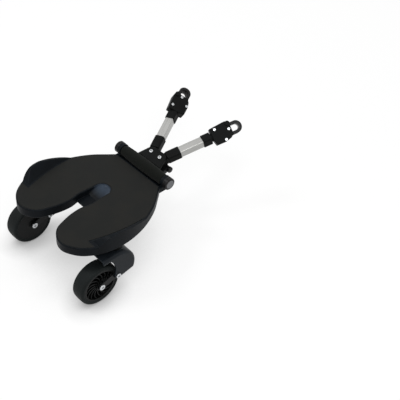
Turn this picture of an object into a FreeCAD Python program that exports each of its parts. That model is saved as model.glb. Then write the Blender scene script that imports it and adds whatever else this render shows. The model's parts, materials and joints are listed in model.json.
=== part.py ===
"""Buggy board: a standing board on two sprung castors that straps behind a pushchair.

Working axes: X to the board's right, Y forward towards the pushchair, Z up, ground at zero.
The handle's axis lies over Y = 0 while the parts are made. At the end everything is shifted
along Y so that the origin is the middle of the whole part's footprint, on the ground.
"""
import FreeCAD, Part
import os
from math import asin, atan2, ceil, cos, pi, radians, sin, sqrt, tan

Vector = FreeCAD.Vector

# Shared clearances and overruns
running_gap = 0.05
seat_gap = 0.1
soft_gap = 0.3
overrun = 5.0

# Deck
deck_half_width = 178.5
deck_length = 333.0
deck_behind_handle = 22.0
deck_thickness = 29.0
deck_edge_round = 3.0
deck_under_round = 4.0
deck_corner_round = 8.0
deck_corner_inset = 6.0
tread_thickness = 3.0
tread_proud = 0.6
tread_inset = 3.6
tread_edge_round = 1.0
tread_gap = 0.3
scoop_length = 36.0
scoop_half_width = 30.0
scoop_radius = 32.0
scoop_step = 4.0
scoop_floor = 4.0
shelf_length = 52.0
shelf_thickness = 5.0

# Right half of the outline from the front corner round the lobe to the slot's front end:
# shares of the half width, and of the length measured back from the front edge.
outline_shares = [
    (0.543, 0.018), (0.804, 0.209), (0.964, 0.427), (1.0, 0.597), (0.911, 0.824), (0.702, 0.958),
    (0.499, 1.0), (0.269, 0.946), (0.148, 0.806), (0.109, 0.675), (0.137, 0.522), (0.0, 0.319),
]
outline_start_shares = (0.61, -0.79)

# Raised side guards along the outside of each lobe: the rim's line from the front to the rear, as shares
# of the length and of the guard's height, then the foot and the rim of the sloping inner face in plan.
guard_height = 26.0
guard_foot = 8.0
guard_profile_shares = [
    (0.275, -0.4), (0.36, 0.08), (0.46, 0.5), (0.55, 0.79),
    (0.64, 1.0), (0.72, 0.9), (0.785, 0.34), (0.822, -0.3),
]
guard_foot_shares = [(0.896, 0.27), (0.88, 0.546), (0.745, 0.83)]
guard_rim_shares = [(0.93, 0.27), (0.982, 0.58), (0.885, 0.83)]

# Underside cover
cover_inset = 9.0
cover_thickness = 5.0
cover_rim = 9.0
cover_pocket_depth = 2.6
cover_pocket = 30.0
cover_rib = 4.0
cover_screw_radius = 3.5
cover_screw_height = 1.8
cover_screw_shares = [(0.42, 0.16), (0.66, 0.38), (0.3, 0.46), (0.36, 0.893)]

# Handle
handle_above_deck = 6.0
handle_half_length = 110.0
handle_bar_radius = 11.0
handle_bar_wall = 2.0
grip_radius = 18.5
grip_end_radius = 16.0
grip_round = 4.0
lug_radius = 17.5
lug_width = 10.0
lug_inset = 14.0
lug_reach = 18.0
lug_height = 16.0
lug_drop = 26.0
apron_reach = 21.0
apron_below_grip = 1.5
apron_thickness = 5.0
apron_round = 2.0
cap_radius = 17.8
cap_round = 2.5
cap_groove = 1.4
cap_groove_depth = 1.0
disc_radius = 12.5
disc_thickness = 4.0
disc_proud = 0.8

# Hub and its hinge
arm_pitch = 18.1
arm_splay_right = 20.5
arm_splay_left = 23.3
hub_ahead = 47.3
hub_above_handle = 1.5
arm_spacing = 36.0
knuckle_radius = 14.5
knuckle_half_height = 8.0
knuckle_gap = 0.3
hub_plate = 6.5
hub_lobe_radius = 18.5
hub_rear_half_width = 46.0
hub_rear = 26.2
hub_web_front = 16.0
hub_edge_round = 2.5
hub_lower_radius = 13.5
hub_neck_half_width = 29.0
hub_screw_radius = 4.0
hub_screw_head_radius = 5.6
hub_screw_head_height = 3.4
hub_socket_radius = 2.5
hub_socket_depth = 2.0
hinge_ahead_of_arms = 4.0
hinge_below_arms = 24.0
hinge_pin_radius = 4.5
hinge_barrel_radius = 8.5
cheek_gap = 0.4
cheek_width = 12.0
cheek_end_radius = 8.0
cheek_root_behind = 15.0
cheek_root_radius = 3.4
bracket_plate = 6.0
bracket_length = 46.0
bracket_margin = 8.6
hinge_head_radius = 9.0
hinge_head_height = 8.0
hinge_head_round = 2.5

# Arms
sleeve_width = 30.0
sleeve_corner = 8.0
sleeve_start = 19.0
sleeve_end = 60.0
sleeve_shoulder_round = 4.0
socket_depth = 34.0
tube_width = 24.0
tube_corner = 3.0
tube_wall = 2.0
tube_shown = 71.0
collar_width = 29.0
collar_corner = 6.0
collar_length = 27.0
collar_wall = 5.0
collar_edge_round = 1.5

# Strap connectors
swivel_radius = 6.0
swivel_flange_radius = 9.0
swivel_flange = 3.0
neck_radius = 12.0
neck_length = 3.5
swivel_stud = 14.0
connector_length = 61.0
connector_half_width = 28.0
connector_half_thickness = 13.0
connector_edge_round = 2.5
connector_roll = 36.0
connector_shares = [
    (0.0, -0.86), (0.78, -0.98), (0.95, -0.9), (1.0, -0.4), (1.0, 0.6),
    (0.82, 0.86), (0.55, 1.0), (0.08, 0.98), (0.0, 0.34),
]
connector_screw_shares = [(0.23, -0.6), (0.87, -0.08), (0.56, 0.8)]
connector_screw_radius = 4.2
connector_screw_height = 1.6
connector_shank_radius = 1.8
connector_socket_radius = 2.0
connector_socket_depth = 1.0
catch_shares = (0.9, -0.66)
catch_radius = 7.5
catch_height = 4.0
strap_inner_radius = 10.0
strap_thickness = 8.0
strap_width = 20.0
strap_centre_ahead = 13.0
strap_tail = 14.0

# Castors
castor_inset = 28.1
castor_ahead_of_rear = 127.0
wheel_radius = 63.0
tyre_width = 43.0
tyre_depth = 13.0
tyre_shoulder = 7.5
tyre_crown_drop = 0.8
rim_ring = 4.5
rim_half_width = 19.5
rim_web = 4.0
rim_hub_radius = 13.5
rim_hub_gap = 0.8
rim_rib = 2.6
rim_rib_sweep = 34.0
rim_ribs = 16
axle_radius = 5.0
bolt_head_radius = 8.6
bolt_head_height = 4.6
axle_head_height = 3.4
bolt_head_round = 1.4
bolt_socket_radius = 3.6
bolt_socket_depth = 1.8
pivot_ahead = 49.9
pivot_above = 14.9
pivot_radius = 4.0
pivot_head_radius = 7.6
swing_plate = 3.4
swing_side_gap = 1.0
swing_end_radius = 10.0
bridge_ahead = 36.0
bridge_above = 22.0
bridge_width = 16.0
bridge_height = 10.0
fork_gap = 0.8
fork_wall = 4.4
nose_radius = 61.0
nose_above_pivot = 18.0
fork_ear_radius = 11.0
fork_rear_behind = 46.0
fork_lip = 12.0
arch_behind = 7.0
arch_above = 34.0
fork_round = 8.0
fork_floor_behind = 22.0
swivel_ahead = 16.2
turret_radius = 19.0
turret_height = 20.0
stem_radius = 8.0
stem_length = 15.0
stem_head_radius = 12.0
stem_head_height = 4.0
housing_gap = 0.4
housing_height = 16.7
housing_radius = 21.5
housing_base_radius = 20.0
housing_flange_radius = 24.6
housing_flange = 4.0
spring_wire_radius = 1.1
spring_coil_radius = 6.4
spring_turns = 4

# Places that follow from the sizes above
axle_z = wheel_radius
pivot_z = axle_z + pivot_above
nose_z = pivot_z + nose_above_pivot
fork_top = nose_z + nose_radius
deck_top = fork_top + housing_gap + housing_height + deck_thickness
handle_height = deck_top + handle_above_deck
deck_front_y = -deck_behind_handle
shell_top = deck_top - tread_proud
shell_bottom = deck_top - deck_thickness
recess_depth = tread_thickness - tread_proud
handle_centre = Vector(0, 0, handle_height)
lug_outer = handle_half_length - lug_inset
lug_inner = lug_outer - lug_width
hub_along = Vector(0, cos(radians(arm_pitch)), sin(radians(arm_pitch)))
hub_up = Vector(0, -sin(radians(arm_pitch)), cos(radians(arm_pitch)))
hub_centre = Vector(0, hub_ahead, handle_height + hub_above_handle)
hinge_centre = hub_centre + hub_along * hinge_ahead_of_arms - hub_up * hinge_below_arms
hub_half_height = knuckle_half_height + knuckle_gap + hub_plate
bracket_half_width = hub_neck_half_width + cheek_gap + cheek_width + bracket_margin
collar_start = sleeve_end + tube_shown
collar_end = collar_start + collar_length
neck_end = collar_end + neck_length
connector_end = neck_end + connector_length
swing_inner = tyre_width / 2 + swing_side_gap
swing_outer = swing_inner + swing_plate
fork_inner = swing_outer + fork_gap
fork_outer = fork_inner + fork_wall
rim_hub_half_width = swing_inner - rim_hub_gap
wheel_x = deck_half_width - castor_inset
swivel_y = deck_front_y - deck_length + castor_ahead_of_rear
pivot_y = swivel_y - swivel_ahead
axle_y = pivot_y - pivot_ahead


# Basic solids

def block(low, high):
    """Box between two corners."""
    return Part.makeBox(high.x - low.x, high.y - low.y, high.z - low.z, low)


def rod(start, end, radius):
    """Round bar between two points."""
    return Part.makeCylinder(radius, (end - start).Length, start, end - start)


def bar_across(x0, x1, y, z, radius):
    """Round bar along X."""
    return rod(Vector(x0, y, z), Vector(x1, y, z), radius)


def fuse(shapes):
    """One solid from several that overlap."""
    return shapes[0].fuse(shapes[1:]).removeSplitter()


def mirrored(shape):
    """The same shape on the other side of the board."""
    return shape.mirror(Vector(0, 0, 0), Vector(1, 0, 0))


def edges_along(shape, axis):
    """Straight edges that run along an axis."""
    picked = []
    for edge in shape.Edges:
        if isinstance(edge.Curve, (Part.Line, Part.LineSegment)):
            if edge.tangentAt(edge.FirstParameter).cross(axis).Length < 1e-6:
                picked.append(edge)
    return picked


def edges_on_plane(shape, point, normal):
    """Edges that lie wholly on a plane."""
    picked = []
    for edge in shape.Edges:
        samples = edge.discretize(5)
        if all(abs((sample - point).dot(normal)) < 1e-6 for sample in samples):
            picked.append(edge)
    return picked


def square_bar(width, corner, start, end):
    """Square bar along Y with rounded corners, centred on the Y axis."""
    half = width / 2
    bar = block(Vector(-half, start, -half), Vector(half, end, half))
    return bar.makeFillet(corner, edges_along(bar, Vector(0, 1, 0)))


def spun_about_x(profile, centre):
    """Ring or disc from (x, radius) corner points, turned about the X axis through a centre."""
    points = [centre + Vector(x, 0, radius) for x, radius in profile]
    face = Part.Face(Part.makePolygon(points + points[:1]))
    return face.revolve(centre, Vector(1, 0, 0), 360)


def spun_about_z(profile, centre):
    """Round piece from (radius, height) corner points, turned about the Z axis through a centre."""
    points = [centre + Vector(radius, 0, height) for radius, height in profile]
    face = Part.Face(Part.makePolygon(points + points[:1]))
    return face.revolve(centre, Vector(0, 0, 1), 360)


def hex_socket(top, outward, radius, depth):
    """Six-sided recess to cut into a screw head, from its outer face inwards."""
    ahead = Vector(0, 1, 0)
    aside = outward.cross(ahead)
    corners = []
    for i in range(6):
        turn = i * pi / 3
        corners.append(top + outward * overrun + ahead * (radius * cos(turn)) + aside * (radius * sin(turn)))
    face = Part.Face(Part.makePolygon(corners + corners[:1]))
    return face.extrude(outward * -(overrun + depth))


def placed(shape, origin, along, up):
    """Moves a shape made about the origin so that its Y runs along and its Z runs up."""
    across = along.cross(up)
    matrix = FreeCAD.Matrix(
        across.x, along.x, up.x, origin.x,
        across.y, along.y, up.y, origin.y,
        across.z, along.z, up.z, origin.z,
        0, 0, 0, 1)
    copy = shape.copy()
    copy.Placement = FreeCAD.Placement(matrix)
    return copy


# Smooth outlines from arcs

def arc_from(start, tangent, end):
    """Arc that leaves a point along a tangent and ends at another point."""
    chord = end - start
    normal = tangent - chord * (tangent.dot(chord) / chord.dot(chord))
    if normal.Length < 1e-9:
        return Part.makeLine(start, end)
    rise = chord.Length / 2 * tan(tangent.getAngle(chord) / 2)
    middle = start + chord * 0.5 + normal.normalize() * rise
    return Part.Arc(start, middle, end).toShape()


def biarc(start, start_tangent, end, end_tangent):
    """Two arcs that join two points smoothly."""
    chord = end - start
    a = 2 * (start_tangent.dot(end_tangent) - 1)
    b = -2 * chord.dot(start_tangent + end_tangent)
    c = chord.dot(chord)
    reach = -c / b if abs(a) < 1e-9 else (-b - sqrt(b * b - 4 * a * c)) / (2 * a)
    joint = (start + start_tangent * reach + end - end_tangent * reach) * 0.5
    return [arc_from(start, start_tangent, joint), arc_from(end, end_tangent * -1, joint)]


def smooth_edges(points, start_tangent, end_tangent):
    """Chain of arcs through points, smooth from end to end."""
    tangents = [start_tangent]
    for before, here, after in zip(points, points[1:], points[2:]):
        back = here - before
        ahead = after - here
        tangent = back * (ahead.Length / back.Length) + ahead * (back.Length / ahead.Length)
        tangents.append(tangent.normalize())
    tangents.append(end_tangent)
    edges = []
    for i in range(len(points) - 1):
        edges += biarc(points[i], tangents[i], points[i + 1], tangents[i + 1])
    return edges


def link_face(first, first_radius, second, second_radius, x):
    """Flat link across X: two round ends joined by their common tangents."""
    run = second - first
    angle = atan2(run.z, run.y)
    lean = asin((first_radius - second_radius) / run.Length)

    def on_circle(centre, radius, turn):
        return Vector(x, centre.y + radius * cos(turn), centre.z + radius * sin(turn))

    left = angle + pi / 2 - lean
    right = angle - pi / 2 + lean
    a = on_circle(first, first_radius, left)
    b = on_circle(first, first_radius, angle + pi)
    c = on_circle(first, first_radius, right)
    d = on_circle(second, second_radius, right)
    e = on_circle(second, second_radius, angle)
    f = on_circle(second, second_radius, left)
    edges = [
        Part.Arc(a, b, c).toShape(), Part.makeLine(c, d),
        Part.Arc(d, e, f).toShape(), Part.makeLine(f, a)]
    return Part.Face(Part.Wire(edges))


def link(first, first_radius, second, second_radius, x0, x1):
    """Link plate between two X positions."""
    return link_face(first, first_radius, second, second_radius, x0).extrude(Vector(x1 - x0, 0, 0))


# Deck

def deck_point(width_share, length_share, z):
    return Vector(width_share * deck_half_width, deck_front_y - length_share * deck_length, z)


def deck_outline(z):
    """Closed outline: straight front, two lobes and the slot between them."""
    points = [deck_point(width, length, z) for width, length in outline_shares]
    start = Vector(outline_start_shares[0], outline_start_shares[1], 0).normalize()
    right = smooth_edges(points, start, Vector(-1, 0, 0))
    corner = Vector(points[0].x - deck_corner_inset, deck_front_y, z)
    right.append(Part.makeLine(corner, points[0]))
    left = [mirrored(edge) for edge in right]
    front = Part.makeLine(Vector(-corner.x, corner.y, z), corner)
    return Part.Wire(Part.__sortEdges__([front] + right + left))


def inset_prism(inset, low, high):
    """Upright prism on the deck's outline drawn in by an inset."""
    wire = deck_outline(low).makeOffset2D(-inset)
    return Part.Face(wire).extrude(Vector(0, 0, high - low))


def guard_inner_wire(z, shift):
    """Plan, at one height, of the space between the sloping inner faces of the two side guards."""
    rise = (z - shell_top) / guard_height
    points = []
    for foot, rim in zip(guard_foot_shares, guard_rim_shares):
        low = deck_point(foot[0], foot[1], z)
        high = deck_point(rim[0], rim[1], z)
        points.append(low + (high - low) * rise + Vector(shift, 0, 0))
    right = Part.Arc(*points).toShape()
    left = mirrored(right)
    front, middle, rear = points
    across_front = Part.makeLine(Vector(-front.x, front.y, z), front)
    across_rear = Part.makeLine(rear, Vector(-rear.x, rear.y, z))
    return Part.Wire(Part.__sortEdges__([across_front, right, across_rear, left]))


def guards():
    """Both side guards with a root that sinks into the deck's edge."""
    low = shell_top - guard_foot
    high = shell_top + guard_height + overrun
    wall = Part.Face(deck_outline(low)).extrude(Vector(0, 0, high - low))
    between = Part.makeLoft([guard_inner_wire(low, 0), guard_inner_wire(high, 0)], True, True)
    profile = []
    for length, height in guard_profile_shares:
        y = deck_front_y - length * deck_length
        profile.append(Vector(-deck_half_width - overrun, y, shell_top + height * guard_height))
    rising = (profile[1] - profile[0]).normalize()
    falling = (profile[-1] - profile[-2]).normalize()
    edges = smooth_edges(profile, rising, falling)
    far = Vector(profile[0].x, profile[-1].y, high + overrun)
    near = Vector(profile[0].x, profile[0].y, high + overrun)
    edges += [Part.makeLine(profile[-1], far), Part.makeLine(far, near), Part.makeLine(near, profile[0])]
    above = Part.Face(Part.Wire(edges)).extrude(Vector(2 * deck_half_width + 2 * overrun, 0, 0))
    keep = block(
        Vector(-deck_half_width - overrun, profile[-1].y, low),
        Vector(deck_half_width + overrun, profile[0].y, high))
    return wall.common(keep).cut([between, above])


def scoop():
    """Web across the slot's front end, hollowed into a trough that falls towards the rear."""
    front = deck_front_y - outline_shares[-1][1] * deck_length
    top = shell_top - deck_edge_round
    low = shell_bottom + deck_under_round
    web = block(Vector(-scoop_half_width, front - scoop_length, low), Vector(scoop_half_width, front, top))
    fall = Vector(0, -scoop_length, low + scoop_floor - top + scoop_step).normalize()
    lift = Vector(1, 0, 0).cross(fall) * -1
    start = Vector(0, front, top - scoop_step) + lift * scoop_radius - fall * scoop_length
    trough = web.cut(rod(start, start + fall * 4 * scoop_length, scoop_radius))
    shelf = block(
        Vector(-scoop_half_width, front - scoop_length - shelf_length, low),
        Vector(scoop_half_width, front - scoop_length / 2, low + shelf_thickness))
    return fuse([trough, shelf])


def deck_shell():
    shell = Part.Face(deck_outline(shell_bottom)).extrude(Vector(0, 0, shell_top - shell_bottom))
    corners = [edge for edge in edges_along(shell, Vector(0, 0, 1))
               if edge.Vertexes[0].Y > deck_front_y - outline_shares[1][1] * deck_length]
    shell = shell.makeFillet(deck_corner_round, corners)
    rim = edges_on_plane(shell, Vector(0, 0, shell_top), Vector(0, 0, 1))
    shell = shell.makeFillet(deck_edge_round, rim)
    foot = edges_on_plane(shell, Vector(0, 0, shell_bottom), Vector(0, 0, 1))
    shell = shell.makeFillet(deck_under_round, foot)
    pieces = [shell, scoop(), apron()] + guards().Solids + [handle_lug(1), handle_lug(-1)]
    shell = fuse(pieces)
    recess = tread_solid(tread_gap, shell_top - recess_depth, shell_top + overrun)
    pocket = inset_prism(cover_inset, shell_bottom - overrun, shell_bottom + cover_thickness + seat_gap)
    bore = bar_across(
        -handle_half_length, handle_half_length, 0, handle_height, handle_bar_radius + seat_gap)
    return shell.cut([recess, pocket, bore])


def handle_lug(side):
    """Ear at a front corner of the deck that carries one end of the handle bar."""
    ring = bar_across(lug_inner, lug_outer, 0, handle_height, lug_radius)
    arm = block(
        Vector(lug_inner, -lug_reach - deck_behind_handle, handle_height - lug_drop),
        Vector(lug_outer, 0, handle_height - lug_drop + lug_height))
    lug = fuse([ring, arm])
    return lug if side > 0 else mirrored(lug)


def apron():
    """Shelf under the grip that closes the gap between the deck's front and the hinge."""
    top = handle_height - grip_radius - apron_below_grip
    body = block(
        Vector(-lug_inner - lug_width / 2, deck_front_y - deck_edge_round, top - apron_thickness),
        Vector(lug_inner + lug_width / 2, deck_front_y + apron_reach, top))
    front = edges_on_plane(body, Vector(0, deck_front_y + apron_reach, 0), Vector(0, 1, 0))
    return body.makeFillet(apron_round, front)


def tread_solid(growth, low, high):
    """Plan of the standing surface, clear of the guards, between two heights."""
    plan = inset_prism(tread_inset - growth, low, high)
    inner = guard_inner_wire(shell_top, growth - tread_inset)
    inner.translate(Vector(0, 0, low - shell_top))
    between = Part.Face(inner).extrude(Vector(0, 0, high - low))
    front = deck_point(0, guard_foot_shares[0][1], low)
    rear = deck_point(0, guard_foot_shares[-1][1], low)
    ahead = block(
        Vector(-deck_half_width, front.y, low), Vector(deck_half_width, deck_front_y + overrun, high))
    behind = block(
        Vector(-deck_half_width, rear.y - deck_length, low), Vector(deck_half_width, rear.y, high))
    return plan.common(fuse([between, ahead, behind]))


def deck_tread():
    tread = tread_solid(0, shell_top - recess_depth, deck_top)
    return tread.makeFillet(tread_edge_round, edges_on_plane(tread, Vector(0, 0, deck_top), Vector(0, 0, 1)))


def cover_screw_places():
    """Screw places round the underside cover."""
    return [deck_point(side * width, length, shell_bottom)
            for width, length in cover_screw_shares for side in (-1, 1)]


def deck_underside():
    """Closing plate with a grid of ribs left between shallow pockets."""
    top = shell_bottom + cover_thickness
    plate = inset_prism(cover_inset + seat_gap, shell_bottom, top)
    field = inset_prism(cover_inset + cover_rim, shell_bottom - overrun, shell_bottom + cover_pocket_depth)
    step = cover_pocket + cover_rib
    columns = ceil(deck_half_width / step)
    rows = ceil(deck_length / step)
    pockets = []
    for column in range(-columns, columns):
        for row in range(rows):
            x = column * step + cover_rib / 2
            low = Vector(x, deck_front_y - row * step - cover_pocket, shell_bottom - overrun)
            high = Vector(low.x + cover_pocket, low.y + cover_pocket, shell_bottom + cover_pocket_depth)
            pockets.append(block(low, high))
    low = shell_bottom - 2 * overrun
    keep_out = []
    for x in (-wheel_x, wheel_x):
        under = Vector(x, swivel_y, low)
        keep_out.append(rod(under, Vector(x, swivel_y, top), housing_flange_radius + cover_rib))
    bracket_end = bracket_half_width + cover_rib
    keep_out.append(block(
        Vector(-bracket_end, -cheek_root_behind - bracket_length, low), Vector(bracket_end, 0, top)))
    for place in cover_screw_places():
        under = Vector(place.x, place.y, low)
        keep_out.append(rod(under, place + Vector(0, 0, cover_thickness), 2 * cover_screw_radius))
    field = field.cut(keep_out)
    return plate.cut([pocket.common(field) for pocket in pockets])


def underside_screws():
    drop = Vector(0, 0, cover_screw_height)
    return Part.makeCompound([rod(place - drop, place, cover_screw_radius) for place in cover_screw_places()])


# Handle

def handle_bar():
    reach = handle_half_length - 2 * disc_thickness
    outer = bar_across(-reach, reach, 0, handle_height, handle_bar_radius)
    inner = bar_across(
        -reach - overrun, reach + overrun, 0, handle_height, handle_bar_radius - handle_bar_wall)
    return outer.cut(inner)


def handle_grip():
    """Foam sleeve, fuller in the middle than at its ends."""
    half = lug_inner - soft_gap
    bore = handle_bar_radius + seat_gap
    left_end = handle_centre + Vector(-half + grip_round, 0, grip_end_radius)
    right_end = handle_centre + Vector(half - grip_round, 0, grip_end_radius)
    crown = handle_centre + Vector(0, 0, grip_radius)
    outer = smooth_edges([left_end, crown, right_end], Vector(1, 0, 0), Vector(1, 0, 0))
    left = handle_centre + Vector(-half, 0, grip_end_radius - grip_round)
    right = handle_centre + Vector(half, 0, grip_end_radius - grip_round)
    low_left = handle_centre + Vector(-half, 0, bore)
    low_right = handle_centre + Vector(half, 0, bore)
    edges = [arc_from(left_end, Vector(-1, 0, 0), left)] + outer
    edges += [arc_from(right_end, Vector(1, 0, 0), right), Part.makeLine(right, low_right)]
    edges += [Part.makeLine(low_right, low_left), Part.makeLine(low_left, left)]
    face = Part.Face(Part.Wire(Part.__sortEdges__(edges)))
    return face.revolve(handle_centre, Vector(1, 0, 0), 360)


def handle_cap():
    """Right end cap with a seat for its disc."""
    start = lug_outer + soft_gap
    end = handle_half_length - disc_proud
    body = bar_across(start, end, 0, handle_height, cap_radius)
    body = body.makeFillet(cap_round, edges_on_plane(body, Vector(end, 0, 0), Vector(1, 0, 0)))
    bar_end = handle_half_length - 2 * disc_thickness + seat_gap
    bore = bar_across(start - overrun, bar_end, 0, handle_height, handle_bar_radius + seat_gap)
    seat_start = end - disc_thickness + disc_proud
    seat = bar_across(seat_start, end + overrun, 0, handle_height, disc_radius + seat_gap)
    middle = (start + end - cap_round) / 2
    floor = cap_radius - cap_groove_depth
    near = middle - cap_groove / 2
    far = middle + cap_groove / 2
    groove_profile = [(near, floor), (far, floor), (far, cap_radius + overrun), (near, cap_radius + overrun)]
    groove = spun_about_x(groove_profile, handle_centre)
    return body.cut([bore, seat, groove])


def handle_disc():
    end = handle_half_length
    disc = bar_across(end - disc_thickness, end, 0, handle_height, disc_radius)
    return disc.makeFillet(disc_proud / 2, edges_on_plane(disc, Vector(end, 0, 0), Vector(1, 0, 0)))


# Hinge between the deck and the arms

def hinge_bracket():
    """Plate under the deck's front with two cheeks that reach forward to the hinge pin."""
    inner = hub_neck_half_width + cheek_gap
    root = Vector(0, -cheek_root_behind, shell_bottom - bracket_plate + cheek_root_radius)
    plate = block(
        Vector(-bracket_half_width, root.y - bracket_length, shell_bottom - bracket_plate),
        Vector(bracket_half_width, root.y, shell_bottom))
    plate = plate.makeFillet(bracket_plate, edges_along(plate, Vector(0, 0, 1)))
    cheek = link(hinge_centre, cheek_end_radius, root, cheek_root_radius, inner, inner + cheek_width)
    bracket = fuse([plate, cheek, mirrored(cheek)])
    reach = inner + cheek_width + overrun
    hole = bar_across(-reach, reach, hinge_centre.y, hinge_centre.z, hinge_pin_radius + running_gap)
    return bracket.cut(hole)


def hinge_pin():
    reach = hub_neck_half_width + cheek_gap + cheek_width
    y = hinge_centre.y
    z = hinge_centre.z
    shank = bar_across(-reach, reach, y, z, hinge_pin_radius)
    heads = []
    for side in (-1, 1):
        end = side * (reach + hinge_head_height)
        head = bar_across(side * reach, end, y, z, hinge_head_radius)
        rim = edges_on_plane(head, Vector(end, 0, 0), Vector(1, 0, 0))
        heads.append(head.makeFillet(hinge_head_round, rim))
    return fuse([shank] + heads)


# Hub, made about its own centre: Y along the hub, Z up from the arms' plane

def hub_outline(lobe_radius, rear_half_width, rear, z):
    """Flat plan: two round lobes about the arm screws and a straight rear edge."""
    half = arm_spacing / 2
    run_x = rear_half_width - half
    distance = sqrt(run_x ** 2 + rear ** 2)
    lean = atan2(-rear, run_x) + pi / 2 - asin(lobe_radius / distance)
    touch = Vector(half + lobe_radius * cos(lean), lobe_radius * sin(lean), z)
    top = Vector(half, lobe_radius, z)
    bulge = Vector(half + lobe_radius * cos(lean / 2 + pi / 4), lobe_radius * sin(lean / 2 + pi / 4), z)
    rear_corner = Vector(rear_half_width, -rear, z)
    right = [Part.makeLine(rear_corner, touch), Part.Arc(touch, bulge, top).toShape()]
    left = [mirrored(edge) for edge in right]
    front = Part.makeLine(top, Vector(-top.x, top.y, z))
    back = Part.makeLine(Vector(-rear_half_width, -rear, z), rear_corner)
    return Part.Wire(Part.__sortEdges__(right + [front] + left + [back]))


def hub_screw_holes():
    half = arm_spacing / 2
    reach = hub_half_height + overrun
    radius = hub_screw_radius + running_gap
    return [rod(Vector(x, 0, -reach), Vector(x, 0, reach), radius) for x in (-half, half)]


def hub_web(low, high):
    """Block behind the knuckles that joins the two hub plates, narrow enough to pass between the cheeks."""
    half = arm_spacing / 2
    web = block(
        Vector(-hub_neck_half_width, -hub_rear, low), Vector(hub_neck_half_width, -hub_web_front, high))
    sweep = [rod(Vector(x, 0, low), Vector(x, 0, high), hub_web_front) for x in (-half, half)]
    return web.cut(sweep)


def hub_upper():
    """Upper hub plate, with its half of the web."""
    low = knuckle_half_height + knuckle_gap
    plan = Part.Face(hub_outline(hub_lobe_radius, hub_rear_half_width, hub_rear, low))
    plate = plan.extrude(Vector(0, 0, hub_plate))
    rim = edges_on_plane(plate, Vector(0, 0, hub_half_height), Vector(0, 0, 1))
    plate = plate.makeFillet(hub_edge_round, rim)
    return fuse([plate, hub_web(0, low)]).cut(hub_screw_holes())


def hub_lower():
    """Lower hub plate with the barrel that turns on the hinge pin."""
    top = -knuckle_half_height - knuckle_gap
    plan = Part.Face(hub_outline(hub_lower_radius, hub_neck_half_width, hub_rear, -hub_half_height))
    plate = plan.extrude(Vector(0, 0, hub_plate))
    half = hub_neck_half_width
    barrel = bar_across(-half, half, hinge_ahead_of_arms, -hinge_below_arms, hinge_barrel_radius)
    neck = block(
        Vector(-half, hinge_ahead_of_arms - hinge_barrel_radius, -hinge_below_arms),
        Vector(half, hinge_ahead_of_arms + hinge_barrel_radius, top))
    reach = half + overrun
    hole = bar_across(-reach, reach, hinge_ahead_of_arms, -hinge_below_arms, hinge_pin_radius + running_gap)
    body = fuse([plate, hub_web(top, 0), barrel, neck])
    return body.cut([hole] + hub_screw_holes())


def hub_screws():
    """Two pan-head screws that are also the arms' pivots."""
    half = arm_spacing / 2
    screws = []
    for x in (-half, half):
        shank = rod(Vector(x, 0, -hub_half_height), Vector(x, 0, hub_half_height), hub_screw_radius)
        head_top = Vector(x, 0, hub_half_height + hub_screw_head_height)
        head = rod(Vector(x, 0, hub_half_height), head_top, hub_screw_head_radius)
        head = head.makeFillet(hub_screw_head_height / 2, edges_on_plane(head, head_top, Vector(0, 0, 1)))
        socket = hex_socket(head_top, Vector(0, 0, 1), hub_socket_radius, hub_socket_depth)
        screws.append(fuse([shank, head]).cut(socket))
    return Part.makeCompound(screws)


# Arms, made about the screw: Y out along the arm, Z along the screw

def arm_sleeve():
    """Knuckle and square socket in one moulding."""
    half = sleeve_width / 2
    knuckle = rod(Vector(0, 0, -knuckle_half_height), Vector(0, 0, knuckle_half_height), knuckle_radius)
    tongue = block(
        Vector(-knuckle_radius, 0, -knuckle_half_height),
        Vector(knuckle_radius, sleeve_start + sleeve_shoulder_round, knuckle_half_height))
    body = square_bar(sleeve_width, sleeve_corner, sleeve_start, sleeve_end)
    shoulder = edges_on_plane(body, Vector(0, sleeve_start, 0), Vector(0, 1, 0))
    body = body.makeFillet(sleeve_shoulder_round, shoulder)
    socket = square_bar(tube_width + 2 * seat_gap, tube_corner, sleeve_end - socket_depth, sleeve_end + half)
    hole = rod(Vector(0, 0, -half), Vector(0, 0, half), hub_screw_radius + running_gap)
    return fuse([body, knuckle, tongue]).cut([socket, hole])


def arm_tube():
    start = sleeve_end - socket_depth + seat_gap
    end = collar_end - collar_wall - seat_gap
    outer = square_bar(tube_width, tube_corner, start, end)
    inner = square_bar(tube_width - 2 * tube_wall, tube_corner - tube_wall, start - overrun, end + overrun)
    return outer.cut(inner)


def arm_collar():
    body = square_bar(collar_width, collar_corner, collar_start, collar_end)
    ends = edges_on_plane(body, Vector(0, collar_start, 0), Vector(0, 1, 0))
    ends += edges_on_plane(body, Vector(0, collar_end, 0), Vector(0, 1, 0))
    body = body.makeFillet(collar_edge_round, ends)
    socket_end = collar_end - collar_wall
    socket = square_bar(tube_width + 2 * seat_gap, tube_corner, collar_start - overrun, socket_end)
    hole = rod(Vector(0, collar_start, 0), Vector(0, collar_end + overrun, 0), swivel_radius + running_gap)
    return body.cut([socket, hole])


# Strap connectors, made about the screw like the arms and rolled about the arm's axis

def swivel_bolt():
    """Bolt that the connector turns on, held behind the collar's end wall."""
    inside = collar_end - collar_wall - soft_gap
    flange = rod(Vector(0, inside - swivel_flange, 0), Vector(0, inside, 0), swivel_flange_radius)
    shank = rod(Vector(0, inside - swivel_flange, 0), Vector(0, neck_end + swivel_stud, 0), swivel_radius)
    neck = rod(Vector(0, collar_end + soft_gap, 0), Vector(0, neck_end, 0), neck_radius)
    return fuse([flange, shank, neck])


def connector_point(length_share, width_share, z):
    return Vector(width_share * connector_half_width, neck_end + length_share * connector_length, z)


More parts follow.
